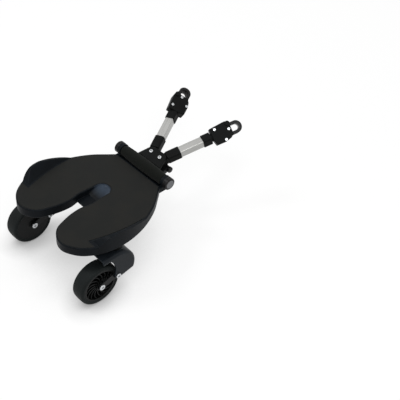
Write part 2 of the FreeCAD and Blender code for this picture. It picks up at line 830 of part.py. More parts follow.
def connector_half(low, high, outer):
    """One shell of the connector between two heights, with its outer edges rounded."""
    points = [connector_point(length, width, low) for length, width in connector_shares]
    body = Part.Face(Part.makePolygon(points + points[:1])).extrude(Vector(0, 0, high - low))
    body = body.makeFillet(connector_edge_round, edges_along(body, Vector(0, 0, 1)))
    body = body.makeFillet(connector_edge_round, edges_on_plane(body, Vector(0, 0, outer), Vector(0, 0, 1)))
    stud_end = Vector(0, neck_end + swivel_stud + seat_gap, 0)
    stud = rod(Vector(0, neck_end - overrun, 0), stud_end, swivel_radius + seat_gap)
    cuts = [stud, strap_body(seat_gap)]
    for length, width in connector_screw_shares:
        place = connector_point(length, width, 0)
        reach = Vector(0, 0, connector_half_thickness + overrun)
        cuts.append(rod(place - reach, place + reach, connector_shank_radius + seat_gap))
    return body.cut(cuts)


def connector_top():
    """Outer shell with a round catch for the strap at one corner."""
    body = connector_half(0, connector_half_thickness, connector_half_thickness)
    foot = connector_point(catch_shares[0], catch_shares[1], connector_half_thickness - catch_height / 2)
    top = foot + Vector(0, 0, catch_height * 1.5)
    catch = rod(foot, top, catch_radius)
    catch = catch.makeFillet(catch_height / 2, edges_on_plane(catch, top, Vector(0, 0, 1)))
    return fuse([body, catch])


def connector_screws():
    screws = []
    for length, width in connector_screw_shares:
        place = connector_point(length, width, 0)
        under = place + Vector(0, 0, connector_half_thickness)
        over = under + Vector(0, 0, connector_screw_height)
        head = rod(under, over, connector_screw_radius)
        head = head.makeFillet(connector_screw_height / 2, edges_on_plane(head, over, Vector(0, 0, 1)))
        shank = rod(place - Vector(0, 0, connector_half_thickness / 2), under, connector_shank_radius)
        socket = hex_socket(over, Vector(0, 0, 1), connector_socket_radius, connector_socket_depth)
        screws.append(fuse([head, shank]).cut(socket))
    return Part.makeCompound(screws)


def strap_body(growth):
    """Band bent round in a U, its tails held between the two shells."""
    outer_radius = strap_inner_radius + strap_thickness + growth
    inner_radius = strap_inner_radius - growth
    half = strap_width / 2 + growth
    centre = Vector(0, connector_end + strap_centre_ahead, 0)
    tail = connector_end - strap_tail - growth
    ring = rod(centre - Vector(0, 0, half), centre + Vector(0, 0, half), outer_radius)
    legs = block(Vector(-outer_radius, tail, -half), Vector(outer_radius, centre.y, half))
    hollow = rod(centre - Vector(0, 0, 2 * half), centre + Vector(0, 0, 2 * half), inner_radius)
    gap = block(Vector(-inner_radius, tail - overrun, -2 * half), Vector(inner_radius, centre.y, 2 * half))
    return fuse([ring, legs]).cut(fuse([hollow, gap]))


# Castors, made on the right-hand side

def castor_housing():
    """Swivel socket fixed under the lobe."""
    centre = Vector(wheel_x, swivel_y, 0)
    low = fork_top + housing_gap
    bore = stem_radius + running_gap
    flange_low = shell_bottom - housing_flange
    profile = [
        (bore, low), (housing_base_radius, low), (housing_radius, flange_low),
        (housing_flange_radius, flange_low), (housing_flange_radius, shell_bottom), (bore, shell_bottom)]
    return spun_about_z(profile, centre)


def castor_stem():
    """Swivel stem: a headed pin that stands up out of the fork."""
    centre = Vector(wheel_x, swivel_y, 0)
    seat = fork_top - turret_height
    profile = [
        (0, seat - stem_head_height), (stem_head_radius, seat - stem_head_height), (stem_head_radius, seat),
        (stem_radius, seat), (stem_radius, fork_top + stem_length), (0, fork_top + stem_length)]
    return spun_about_z(profile, centre)


def fork_profile(x):
    """Side view of the hood: round nose, flat top, lip over the wheel and an ear at the pivot."""
    nose_low = -asin(nose_above_pivot / nose_radius)

    def on_nose(angle):
        return Vector(x, pivot_y + nose_radius * cos(angle), nose_z + nose_radius * sin(angle))

    start = on_nose(nose_low)
    top = on_nose(pi / 2)
    rear_top = Vector(x, pivot_y - fork_rear_behind, fork_top)
    rear_low = Vector(x, rear_top.y, fork_top - fork_lip)
    lip_front = Vector(x, pivot_y - fork_ear_radius - fork_lip, fork_top - fork_lip)
    arch = Vector(x, pivot_y - arch_behind, pivot_z + arch_above)
    ear_back = Vector(x, pivot_y - fork_ear_radius, pivot_z)
    ear_low = Vector(x, pivot_y, pivot_z - fork_ear_radius)
    ear_mid = Vector(x, pivot_y - fork_ear_radius * cos(pi / 4), pivot_z - fork_ear_radius * sin(pi / 4))
    edges = [
        Part.Arc(start, on_nose((nose_low + pi / 2) / 2), top).toShape(), Part.makeLine(top, rear_top),
        Part.makeLine(rear_top, rear_low), Part.makeLine(rear_low, lip_front),
        Part.Arc(lip_front, arch, ear_back).toShape(),
        Part.Arc(ear_back, ear_mid, ear_low).toShape(), Part.makeLine(ear_low, start)]
    return Part.Face(Part.Wire(edges))


def castor_fork():
    """Hood over the wheel with its nose closed below to seat the spring."""
    outer = fork_profile(-fork_outer).extrude(Vector(2 * fork_outer, 0, 0))
    rims = edges_on_plane(outer, Vector(fork_outer, 0, 0), Vector(1, 0, 0))
    rims += edges_on_plane(outer, Vector(-fork_outer, 0, 0), Vector(1, 0, 0))
    rear_limit = pivot_y - fork_rear_behind / 2 - overrun
    low_limit = max(nose_z, fork_top - nose_radius / 2)
    crown = [rim for rim in rims if rim.CenterOfMass.y > rear_limit and rim.CenterOfMass.z > low_limit]
    outer = outer.makeFillet(fork_round, crown)
    turret = rod(Vector(0, swivel_y, fork_top - turret_height), Vector(0, swivel_y, fork_top), turret_radius)
    hollow_radius = nose_radius - fork_wall
    space = bar_across(-fork_inner, fork_inner, pivot_y, nose_z, hollow_radius)
    rear = block(
        Vector(-fork_inner, pivot_y - 2 * fork_rear_behind, 0),
        Vector(fork_inner, pivot_y, nose_z + hollow_radius))
    under = block(Vector(-fork_inner, pivot_y, 0), Vector(fork_inner, pivot_y + hollow_radius, nose_z))
    floor = block(
        Vector(-fork_inner, pivot_y + fork_floor_behind, 0),
        Vector(fork_inner, pivot_y + nose_radius, spring_floor()))
    hollow = fuse([space, rear, under]).cut([floor, turret])
    reach = fork_outer + overrun
    pivot_hole = bar_across(-reach, reach, pivot_y, pivot_z, pivot_radius + running_gap)
    stem_hole = rod(Vector(0, swivel_y, 0), Vector(0, swivel_y, fork_top + overrun), stem_radius + seat_gap)
    body = outer.cut(hollow)
    body = fuse([body, turret])
    body = body.cut([pivot_hole, stem_hole])
    body.translate(Vector(wheel_x, 0, 0))
    return body


def spring_floor():
    """Height of the inside of the hood's nose floor."""
    return pivot_z - bridge_height / 2


def bridge_low():
    return pivot_z + bridge_above - bridge_height / 2


def swing_arm():
    """Two plates from the axle past the pivot, joined by a bridge that bears on the spring."""
    axle = Vector(0, axle_y, axle_z)
    pivot = Vector(0, pivot_y, pivot_z)
    bridge = Vector(0, pivot_y + bridge_ahead, pivot_z + bridge_above)
    plate = fuse([
        link(axle, swing_end_radius, pivot, swing_end_radius, swing_inner, swing_outer),
        link(pivot, swing_end_radius, bridge, bridge_height / 2, swing_inner, swing_outer)])
    beam = block(
        Vector(-swing_outer, bridge.y - bridge_width / 2, bridge_low()),
        Vector(swing_outer, bridge.y + bridge_width / 2, bridge_low() + bridge_height))
    reach = swing_outer + overrun
    axle_hole = bar_across(-reach, reach, axle_y, axle_z, axle_radius + seat_gap)
    pivot_hole = bar_across(-reach, reach, pivot_y, pivot_z, pivot_radius + running_gap)
    arm = fuse([plate, mirrored(plate), beam]).cut([axle_hole, pivot_hole])
    arm.translate(Vector(wheel_x, 0, 0))
    return arm


def bolt_head(y, z, side, start, radius, height):
    """Domed bolt head on the outside of the castor."""
    inner = wheel_x + side * start
    outer = inner + side * height
    head = bar_across(inner, outer, y, z, radius)
    head = head.makeFillet(bolt_head_round, edges_on_plane(head, Vector(outer, 0, 0), Vector(1, 0, 0)))
    socket = hex_socket(Vector(outer, y, z), Vector(side, 0, 0), bolt_socket_radius, bolt_socket_depth)
    return head.cut(socket)


def axle_bolt():
    """Axle right through the wheel with a domed head at each end."""
    shank = bar_across(wheel_x - swing_outer, wheel_x + swing_outer, axle_y, axle_z, axle_radius)
    heads = [bolt_head(axle_y, axle_z, side, swing_outer, bolt_head_radius, axle_head_height)
             for side in (-1, 1)]
    return fuse([shank] + heads)


def pivot_bolts():
    """A short bolt on each side of the wheel that the swing arm turns on."""
    bolts = []
    for side in (-1, 1):
        start = wheel_x + side * swing_inner
        end = wheel_x + side * fork_outer
        shank = bar_across(start, end, pivot_y, pivot_z, pivot_radius)
        head = bolt_head(pivot_y, pivot_z, side, fork_outer, pivot_head_radius, bolt_head_height)
        bolts.append(fuse([shank, head]))
    return Part.makeCompound(bolts)


def castor_spring():
    """Compression spring between the nose floor and the swing arm's bridge."""
    low = spring_floor() + spring_wire_radius + seat_gap
    high = bridge_low() - spring_wire_radius - seat_gap
    centre = Vector(wheel_x, pivot_y + bridge_ahead, 0)
    quarters = spring_turns * 4
    rise = (high - low) / quarters
    points = []
    tangents = []
    for i in range(quarters + 1):
        turn = i * pi / 2
        across = spring_coil_radius * cos(turn)
        ahead = spring_coil_radius * sin(turn)
        points.append(centre + Vector(across, ahead, low + i * rise))
        tangents.append(Vector(-ahead, across, rise / (pi / 2)).normalize())
    edges = []
    for i in range(quarters):
        edges += biarc(points[i], tangents[i], points[i + 1], tangents[i + 1])
    path = Part.Wire(Part.__sortEdges__(edges))
    ring = Part.Wire(Part.makeCircle(spring_wire_radius, points[0], tangents[0]))
    gap = (high - low) / spring_turns - 2 * spring_wire_radius
    print("spring: least gap between its turns", round(gap, 2), "mm")
    return path.makePipeShell([ring], True, False)


def wheel_tyre():
    half = tyre_width / 2
    inner = wheel_radius - tyre_depth
    centre = Vector(wheel_x, axle_y, axle_z)

    def at(x, radius):
        return centre + Vector(x, 0, radius)

    shoulder = wheel_radius - tyre_crown_drop
    edges = []
    for side in (-1, 1):
        foot = at(side * rim_half_width, inner)
        wall = at(side * half, inner + tyre_depth / 3)
        edge = at(side * half, shoulder - tyre_shoulder)
        crown = at(side * (half - tyre_shoulder), shoulder)
        edges += [Part.makeLine(foot, wall), Part.makeLine(wall, edge)]
        edges.append(arc_from(edge, Vector(0, 0, 1), crown))
    reach = half - tyre_shoulder
    edges.append(Part.Arc(at(-reach, shoulder), at(0, wheel_radius), at(reach, shoulder)).toShape())
    edges.append(Part.makeLine(at(-rim_half_width, inner), at(rim_half_width, inner)))
    face = Part.Face(Part.Wire(Part.__sortEdges__(edges)))
    return face.revolve(centre, Vector(1, 0, 0), 360)


def rim_rib_plate(turn):
    """One swept rib between the hub and the ring of the rim."""
    inner = rim_hub_radius - rim_rib
    outer = wheel_radius - tyre_depth - rim_ring / 2
    middle = (inner + outer) / 2
    x = wheel_x - rim_half_width + rim_web

    def at(radius, angle):
        return Vector(x, axle_y + radius * cos(angle), axle_z + radius * sin(angle))

    sweep = radians(rim_rib_sweep)
    sides = []
    for shift in (-rim_rib / 2, rim_rib / 2):
        sides.append([
            at(inner, turn + shift / inner), at(middle, turn + sweep / 4 + shift / middle),
            at(outer, turn + sweep + shift / outer)])
    edges = [
        Part.Arc(*sides[0]).toShape(), Part.makeLine(sides[0][2], sides[1][2]),
        Part.Arc(*sides[1]).toShape(), Part.makeLine(sides[1][0], sides[0][0])]
    face = Part.Face(Part.Wire(Part.__sortEdges__(edges)))
    return face.extrude(Vector(2 * rim_half_width - rim_web - rim_rib, 0, 0))


def wheel_rim():
    """Rim with a closed inner face and swept ribs on its outer face."""
    centre = Vector(wheel_x, axle_y, axle_z)
    ring_outer = wheel_radius - tyre_depth - running_gap
    ring_inner = ring_outer - rim_ring
    half = rim_half_width
    ring_profile = [(-half, ring_inner), (half, ring_inner), (half, ring_outer), (-half, ring_outer)]
    ring = spun_about_x(ring_profile, centre)
    web_end = rim_web - half
    web = bar_across(wheel_x - half, wheel_x + web_end, axle_y, axle_z, ring_inner + rim_ring / 2)
    hub = bar_across(
        wheel_x - rim_hub_half_width, wheel_x + rim_hub_half_width, axle_y, axle_z, rim_hub_radius)
    ribs = [rim_rib_plate(2 * pi * i / rim_ribs) for i in range(rim_ribs)]
    reach = rim_hub_half_width + overrun
    bore = bar_across(wheel_x - reach, wheel_x + reach, axle_y, axle_z, axle_radius + running_gap)
    return fuse([ring, web, hub] + ribs).cut(bore)


# The whole board

def arm_frame(side):
    """Origin, direction and upright of one arm."""
    splay = radians(arm_splay_right if side > 0 else arm_splay_left)
    along = hub_along * cos(splay) + Vector(side * sin(splay), 0, 0)
    return hub_centre + Vector(side * arm_spacing / 2, 0, 0), along, hub_up


def arm_parts(side):
    """Everything beyond the hub on one side, with its connector rolled about the arm."""
    origin, along, up = arm_frame(side)
    rolled_up = up * cos(radians(connector_roll)) + along.cross(up) * sin(radians(connector_roll))
    half = connector_half_thickness
    fixed = {"arm_sleeve": arm_sleeve(), "arm_tube": arm_tube(), "arm_collar": arm_collar()}
    turning = {
        "swivel_bolt": swivel_bolt(), "connector_top": connector_top(),
        "connector_base": connector_half(-half, 0, -half), "connector_screws": connector_screws(),
        "strap_loop": strap_body(0)}
    parts = {name: placed(shape, origin, along, up) for name, shape in fixed.items()}
    parts.update({name: placed(shape, origin, along, rolled_up) for name, shape in turning.items()})
    return parts


def castor_parts():
    """Everything below one lobe, for the right-hand side."""
    return {
        "castor_housing": castor_housing(), "castor_stem": castor_stem(), "castor_fork": castor_fork(),
        "pivot_bolts": pivot_bolts(), "castor_spring": castor_spring(), "swing_arm": swing_arm(),
        "axle_bolt": axle_bolt(), "wheel_tyre": wheel_tyre(), "wheel_rim": wheel_rim()}


def board_parts():
    parts = {
        "deck_shell": deck_shell(), "deck_tread": deck_tread(), "deck_underside": deck_underside(),
        "underside_screws": underside_screws(), "handle_bar": handle_bar(), "handle_grip": handle_grip(),
        "hinge_bracket": hinge_bracket(), "hinge_pin": hinge_pin()}
    for name, shape in (("handle_cap", handle_cap()), ("handle_disc", handle_disc())):
        parts[name + "_right"] = shape
        parts[name + "_left"] = mirrored(shape)
    hub = {"hub_upper": hub_upper(), "hub_lower": hub_lower(), "hub_screws": hub_screws()}
    for name, shape in hub.items():
        parts[name] = placed(shape, hub_centre, hub_along, hub_up)
    for side, label in ((1, "_right"), (-1, "_left")):
        for name, shape in arm_parts(side).items():
            parts[name + label] = shape
    for name, shape in castor_parts().items():
        parts[name + "_right"] = shape
        parts[name + "_left"] = mirrored(shape)
    return parts


board = board_parts()
whole = Part.makeCompound(list(board.values())).optimalBoundingBox(False)
middle_y = (whole.YMin + whole.YMax) / 2
os.makedirs("parts", exist_ok=True)
for node, solid in board.items():
    solid.translate(Vector(0, -middle_y, 0))
    solid.exportStep(os.path.join("parts", node + ".step"))
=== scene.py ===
"""Looks for the buggy board: camera, materials, foam grip, straps, springs, slot chute, floor and light."""
import json
from math import cos, pi, radians, sin, sqrt

import bmesh
import bpy
from mathutils import Matrix, Vector, noise


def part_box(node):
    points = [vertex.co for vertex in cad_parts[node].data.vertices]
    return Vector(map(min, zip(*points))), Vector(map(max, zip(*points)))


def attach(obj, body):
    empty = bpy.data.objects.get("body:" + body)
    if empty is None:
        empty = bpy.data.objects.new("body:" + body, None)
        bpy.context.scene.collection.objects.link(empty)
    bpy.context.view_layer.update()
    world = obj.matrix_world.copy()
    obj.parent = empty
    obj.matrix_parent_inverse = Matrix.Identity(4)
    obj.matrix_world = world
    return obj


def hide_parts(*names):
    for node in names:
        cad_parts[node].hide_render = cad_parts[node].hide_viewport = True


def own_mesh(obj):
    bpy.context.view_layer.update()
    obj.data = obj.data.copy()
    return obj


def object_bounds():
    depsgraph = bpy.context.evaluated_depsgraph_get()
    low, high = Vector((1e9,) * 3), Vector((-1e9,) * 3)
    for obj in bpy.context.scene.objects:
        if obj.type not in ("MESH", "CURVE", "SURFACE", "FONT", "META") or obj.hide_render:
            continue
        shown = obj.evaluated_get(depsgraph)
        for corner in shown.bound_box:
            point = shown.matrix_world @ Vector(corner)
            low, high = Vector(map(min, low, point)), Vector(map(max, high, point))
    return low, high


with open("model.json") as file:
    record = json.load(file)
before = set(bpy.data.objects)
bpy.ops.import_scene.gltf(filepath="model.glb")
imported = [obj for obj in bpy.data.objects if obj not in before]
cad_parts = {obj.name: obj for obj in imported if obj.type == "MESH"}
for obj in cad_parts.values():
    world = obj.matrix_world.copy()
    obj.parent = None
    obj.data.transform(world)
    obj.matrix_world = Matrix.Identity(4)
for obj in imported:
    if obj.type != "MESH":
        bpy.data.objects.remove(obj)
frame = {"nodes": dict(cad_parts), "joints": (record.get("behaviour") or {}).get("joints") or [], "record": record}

cad_low, cad_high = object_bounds()
nodes = frame["nodes"]
joints = {joint["name"]: joint for joint in frame["joints"]}
mounts = {mount["name"]: mount for mount in frame["record"]["mounts"]}
mm = 0.001
sides = ("left", "right")

# Camera, fitted to the photograph's 400 x 400 frame; angles in degrees
image_width = 400
focal_pixels = 740.718
camera_place = Vector((1.191449, -1.031479, 1.558615))
camera_azimuth = 42.061
camera_elevation = 42.551
camera_roll = 5.528

# Foam grip, as in the part's source, with a slightly uneven skin
grip_radius = 18.5 * mm
grip_end_radius = 16.0 * mm
grip_round = 4.0 * mm
grip_bore = 11.1 * mm
grip_fullness = 1.4
grip_swell = 0.3 * mm
grip_swell_size = 22.0 * mm
grip_swell_inward = 0.5

# Rubber strap round a 20 mm tube: a little wider and thicker than the solid, with beaded edges and inner ribs
strap_inner_radius = 10.0 * mm
strap_thickness = 8.6 * mm
strap_width = 24.0 * mm
strap_leg = 27.0 * mm
strap_corner = 1.4 * mm
strap_bead = 1.6 * mm
strap_bead_foot = 1.5 * strap_bead
strap_sunk = 0.7 * mm
strap_rib = 1.3 * mm

# Castor spring, as in the part's source, with closed end coils
spring_wire = 1.1 * mm
spring_radius = 6.4 * mm
spring_active_turns = 4.0
spring_end_turns = 0.75
spring_end_pitch = 2.3 * mm

# Slot, as in the part's source: a half-round front end between nearly straight walls
slot_front = -88.45 * mm
slot_radius = 22.5 * mm
slot_spread = 0.025
slot_edge_round = 3.0 * mm
shell_below_tread = 0.6 * mm

# Smooth moulded chute in the slot's front end, from a rolled lip down to the shelf; pairs are front and rear
chute_length = 50.0 * mm
chute_spine_start = 12.0 * mm
chute_roll_start = 40.0
chute_depths = (6.5 * mm, 19.9 * mm)
chute_depth_power = 1.2
chute_proud = (0.25 * mm, -0.5 * mm)
chute_sink_start = 0.5
chute_squareness = (1.5, 4.0)
chute_skin = 0.8 * mm
# Shares of the chute's length behind the front end over which the gloss and the painted blue-black reflection fade
# out
chute_sheen_and_polish = (0.3, 0.84)

# Studio: lengths in metres, each lamp with its place, width and watts
floor_reach = 14.0
floor_gap = 0.2 * mm
floor_shades = ("#f8f8f8", "#fbfbfb")
floor_white_share = 0.8
shadow_reach = 0.3
shadow_from = 0.42
shadow_to = 0.8
shadow_shade = "#d6d6d6"
contact_reach = 0.06
contact_shade = "#707070"
floor_bounce = "#b0b0b0"
world_light = 0.66
lamp_target = Vector((0, 0, 0.12))
lamps = [
    ("key_softbox", Vector((1.8, -1.3, 2.7)), 1.2, 27),
    ("fill_softbox", Vector((-1.0, -1.3, 2.8)), 0.8, 26),
    ("back_softbox", Vector((-0.4, 2.0, 2.4)), 1.6, 8),
]


def aim(obj, place, forward, roll):
    """Puts a camera or lamp at a place, looking along a direction, turned about it by a roll in degrees."""
    turned = forward.to_track_quat("-Z", "Y").to_matrix().to_4x4()
    obj.matrix_world = Matrix.Translation(place) @ turned @ Matrix.Rotation(radians(roll), 4, "Z")


def add_camera():
    """Camera at the photograph's viewing angle."""
    lens = bpy.data.cameras.new("photo_camera")
    lens.sensor_width = 36.0
    lens.lens = focal_pixels / image_width * lens.sensor_width
    lens.clip_start = 0.05
    lens.clip_end = 60.0
    camera = bpy.data.objects.new("photo_camera", lens)
    bpy.context.scene.collection.objects.link(camera)
    across = radians(camera_azimuth)
    down = radians(camera_elevation)
    forward = Vector((-sin(across) * cos(down), cos(across) * cos(down), -sin(down)))
    aim(camera, camera_place, forward, camera_roll)
    bpy.context.scene.camera = camera


# Materials

def linear(code):
    """Linear colour from an sRGB hex value."""
    channels = [int(code[i:i + 2], 16) / 255 for i in (1, 3, 5)]
    return [c / 12.92 if c <= 0.04045 else ((c + 0.055) / 1.055) ** 2.4 for c in channels] + [1.0]


# A Mix node's sockets for colours, which share their names with those for other values
factor, colour_a, colour_b, mixed = 0, 6, 7, 2


def add_node(tree, kind, sockets, **settings):
    """A shader node with its settings; a socket is given a value or another node's output."""
    made = tree.nodes.new(kind)
    for name, value in settings.items():
        setattr(made, name, value)
    for name, value in sockets.items():
        if isinstance(value, bpy.types.NodeSocket):
            tree.links.new(value, made.inputs[name])
        else:
            made.inputs[name].default_value = value
    return made


def new_surface(name):
    """Empty material and the place in the object, in metres."""
    made = bpy.data.materials.new(name)
    made.use_nodes = True
    made.node_tree.nodes.clear()
    place = add_node(made.node_tree, "ShaderNodeTexCoord", {}).outputs["Object"]
    return made, made.node_tree, place


def per_metre(size_in_mm):
    """Texture scale for a pattern whose cells are about this size."""
    return 1000.0 / size_in_mm


def finish_surface(tree, colour, roughness, normal, sockets):
    """Joins a surface's colour, roughness and bump in one shader, with the values that are even all over."""
    values = {"Base Color": colour, "Roughness": roughness, "Normal": normal, **sockets}
    shader = add_node(tree, "ShaderNodeBsdfPrincipled", values)
    add_node(tree, "ShaderNodeOutputMaterial", {"Surface": shader.outputs["BSDF"]})


def moulded(name, shades, rough, grain_mm, depth_mm, edge_mm, ior, shine):
    """Moulded surface in three shades: the first drifts into the second in soft clouds, edges are lightened to
    the third, partly as rubbed wear and partly as a painted highlight, a fine mould grain lies in the bump, and
    the edges catch the light as if rounded."""
    # Real mould grain and grit are 0.1 to 0.5 mm; they are drawn at 1.6 to 3 mm so that they show
    cloud_mm = 45.0
    scuff_and_glint_mm = 7.0
    gloss_drift = 0.05
    base, drift, wear_and_highlight = (linear(shade) for shade in shades)
    made, tree, place = new_surface(name)
    cloud = add_node(tree, "ShaderNodeTexNoise", {
        "Vector": place, "Scale": per_metre(cloud_mm), "Detail": 3.0})
    drifting = add_node(tree, "ShaderNodeMapRange", {
        "Value": cloud.outputs["Fac"], "From Min": 0.35, "From Max": 0.7})
    tint = add_node(tree, "ShaderNodeMix", {
        factor: drifting.outputs["Result"], colour_a: base, colour_b: drift}, data_type="RGBA")
    rounded = add_node(tree, "ShaderNodeBevel", {"Radius": edge_mm * mm}, samples=6)
    flat = add_node(tree, "ShaderNodeNewGeometry", {})
    facing = add_node(tree, "ShaderNodeVectorMath", {
        0: rounded.outputs["Normal"], 1: flat.outputs["Normal"]}, operation="DOT_PRODUCT")
    edge = add_node(tree, "ShaderNodeMapRange", {
        "Value": facing.outputs["Value"], "From Min": 0.99, "From Max": 0.86, "To Max": 0.7})
    scuff_and_glint = add_node(tree, "ShaderNodeTexNoise", {
        "Vector": place, "Scale": per_metre(scuff_and_glint_mm), "Detail": 4.0})
    rubbed_and_lit = add_node(tree, "ShaderNodeMath", {
        0: edge.outputs["Result"], 1: scuff_and_glint.outputs["Fac"]}, operation="MULTIPLY")
    # Edges lightened to the third shade: part rubbed wear, part painted highlight along the rims
    colour = add_node(tree, "ShaderNodeMix", {
        factor: rubbed_and_lit.outputs["Value"], colour_a: tint.outputs[mixed], colour_b: wear_and_highlight}, data_type="RGBA")
    grain = add_node(tree, "ShaderNodeTexNoise", {
        "Vector": place, "Scale": per_metre(grain_mm), "Detail": 2.0})
    bump = add_node(tree, "ShaderNodeBump", {
        "Strength": 0.5, "Distance": depth_mm * mm, "Height": grain.outputs["Fac"],
        "Normal": rounded.outputs["Normal"]})
    gloss = add_node(tree, "ShaderNodeMapRange", {
        "Value": cloud.outputs["Fac"], "From Min": 0.3, "From Max": 0.7,
        "To Min": rough - gloss_drift, "To Max": rough + gloss_drift})
    finish_surface(tree, colour.outputs[mixed], gloss.outputs["Result"], bump.outputs["Normal"],
                   {"IOR": ior, "Specular IOR Level": shine})
    return made


def anodised_aluminium(name, along):
    """Extruded square tube, anodised: a pale satin metal with fine die lines along its length."""
    # Real die lines are about 0.1 mm apart; they are drawn at 1.4 mm so that they show
    line_mm = 1.4
    stretch = 0.02
    groove = linear("#9b9c98")
    ridge = linear("#bab9b8")
    made, tree, place = new_surface(name)
    across = along.cross(Vector((0, 0, 1))).normalized()
    axes = (across, across.cross(along), along * stretch)
    parts = [add_node(tree, "ShaderNodeVectorMath", {0: place, 1: axis}, operation="DOT_PRODUCT")
             for axis in axes]
    lengthwise = add_node(tree, "ShaderNodeCombineXYZ", {
        i: part.outputs["Value"] for i, part in enumerate(parts)})
    lines = add_node(tree, "ShaderNodeTexNoise", {
        "Vector": lengthwise.outputs["Vector"], "Scale": per_metre(line_mm), "Detail": 4.0, "Roughness": 0.7})
    drifting = add_node(tree, "ShaderNodeMapRange", {
        "Value": lines.outputs["Fac"], "From Min": 0.3, "From Max": 0.7})
    tint = add_node(tree, "ShaderNodeMix", {
        factor: drifting.outputs["Result"], colour_a: groove, colour_b: ridge}, data_type="RGBA")
    gloss = add_node(tree, "ShaderNodeMapRange", {
        "Value": lines.outputs["Fac"], "To Min": 0.3, "To Max": 0.46})
    bump = add_node(tree, "ShaderNodeBump", {
        "Strength": 0.25, "Distance": 0.05 * mm, "Height": lines.outputs["Fac"]})
    finish_surface(tree, tint.outputs[mixed], gloss.outputs["Result"], bump.outputs["Normal"],
                   {"Metallic": 1.0})
    return made


def zinc_plate(name, base, drift, rough):
    """Zinc-plated steel: bright, slightly cloudy metal with a faint blue cast, fine turning marks, and
    painted shade that darkens its sockets and other hollows."""
    # Real turning marks are about 0.1 mm apart; they are drawn at 0.8 mm so that they show
    mark_mm = 0.8
    spangle_mm = 2.2
    socket_mm = 4.0
    gloss_drift = (-0.06, 0.1)
    painted_socket_shade = linear("#24282b")
    made, tree, place = new_surface(name)
    spangle = add_node(tree, "ShaderNodeTexVoronoi", {"Vector": place, "Scale": per_metre(spangle_mm)})
    plate = add_node(tree, "ShaderNodeMix", {
        factor: spangle.outputs["Distance"], colour_a: linear(base), colour_b: linear(drift)},
        data_type="RGBA")
    hollow = add_node(tree, "ShaderNodeAmbientOcclusion", {"Distance": socket_mm * mm}, samples=8)
    open_sky = add_node(tree, "ShaderNodeMapRange", {
        "Value": hollow.outputs["AO"], "From Min": 0.25, "From Max": 0.75})
    # Painted shade: the colour goes to near-black where the point is hemmed in, as in sockets
    tint = add_node(tree, "ShaderNodeMix", {
        factor: open_sky.outputs["Result"], colour_a: painted_socket_shade, colour_b: plate.outputs[mixed]},
        data_type="RGBA")
    marks = add_node(tree, "ShaderNodeTexNoise", {
        "Vector": place, "Scale": per_metre(mark_mm), "Detail": 2.0})
    gloss = add_node(tree, "ShaderNodeMapRange", {
        "Value": marks.outputs["Fac"], "To Min": rough + gloss_drift[0], "To Max": rough + gloss_drift[1]})
    rounded = add_node(tree, "ShaderNodeBevel", {"Radius": 0.5 * mm}, samples=6)
    bump = add_node(tree, "ShaderNodeBump", {
        "Strength": 0.2, "Distance": 0.04 * mm, "Height": marks.outputs["Fac"],
        "Normal": rounded.outputs["Normal"]})
    finish_surface(tree, tint.outputs[mixed], gloss.outputs["Result"], bump.outputs["Normal"],
                   {"Metallic": 1.0})
    return made


def cell_foam(name):
    """Closed-cell rubber foam with a matt skin: pores break up the light, and nothing glints."""
    # Real cells are about 0.3 mm; they are drawn at 1.1 mm so that they show
    pore_mm = 1.1
    cloud_mm = 14.0
    dark = linear("#0c0e0c")
    faded = linear("#141613")
    made, tree, place = new_surface(name)
    pores = add_node(tree, "ShaderNodeTexVoronoi", {
        "Vector": place, "Scale": per_metre(pore_mm)}, feature="SMOOTH_F1")
    cloud = add_node(tree, "ShaderNodeTexNoise", {
        "Vector": place, "Scale": per_metre(cloud_mm), "Detail": 3.0})
    tint = add_node(tree, "ShaderNodeMix", {
        factor: cloud.outputs["Fac"], colour_a: dark, colour_b: faded}, data_type="RGBA")
    bump = add_node(tree, "ShaderNodeBump", {
        "Strength": 0.6, "Distance": 0.25 * mm, "Height": pores.outputs["Distance"]})
    gloss = add_node(tree, "ShaderNodeMapRange", {
        "Value": cloud.outputs["Fac"], "To Min": 0.82, "To Max": 0.95})
    finish_surface(tree, tint.outputs[mixed], gloss.outputs["Result"], bump.outputs["Normal"], {
        "Sheen Weight": 0.03, "Sheen Roughness": 0.6, "IOR": 1.4, "Specular IOR Level": 0.1})
    return made


def polished_chute_painted_sheen(name):
    """Polypropylene off a polished face of the mould: glossy at the front, where a painted blue-black reflection
    lightens its colour, fading into the plain grained black of the deck towards the rear."""
    cloud_mm = 18.0
    plain = linear("#0e1114")
    painted_reflection_dark = linear("#2a323d")
    painted_reflection_light = linear("#384350")
    made, tree, place = new_surface(name)
    parts = add_node(tree, "ShaderNodeSeparateXYZ", {"Vector": place})
    cloud = add_node(tree, "ShaderNodeTexNoise", {
        "Vector": place, "Scale": per_metre(cloud_mm), "Detail": 3.0})
    polish_and_sheen = add_node(tree, "ShaderNodeMapRange", {
        "Value": parts.outputs["Y"], "From Min": slot_front - chute_sheen_and_polish[1] * chute_length,
        "From Max": slot_front - chute_sheen_and_polish[0] * chute_length})
    # Painted reflection: a lighter blue-black colour at the chute's front, where the light falls on it
    painted_reflection = add_node(tree, "ShaderNodeMix", {
        factor: cloud.outputs["Fac"], colour_a: painted_reflection_dark, colour_b: painted_reflection_light}, data_type="RGBA")
    tint = add_node(tree, "ShaderNodeMix", {
        factor: polish_and_sheen.outputs["Result"], colour_a: plain, colour_b: painted_reflection.outputs[mixed]},
        data_type="RGBA")
    gloss = add_node(tree, "ShaderNodeMapRange", {
        "Value": polish_and_sheen.outputs["Result"], "To Min": 0.5, "To Max": 0.26})
    bump = add_node(tree, "ShaderNodeBump", {
        "Strength": 0.3, "Distance": 0.03 * mm, "Height": cloud.outputs["Fac"]})
    finish_surface(tree, tint.outputs[mixed], gloss.outputs["Result"], bump.outputs["Normal"],
                   {"IOR": 1.49, "Specular IOR Level": 0.1})
    return made


add_camera()

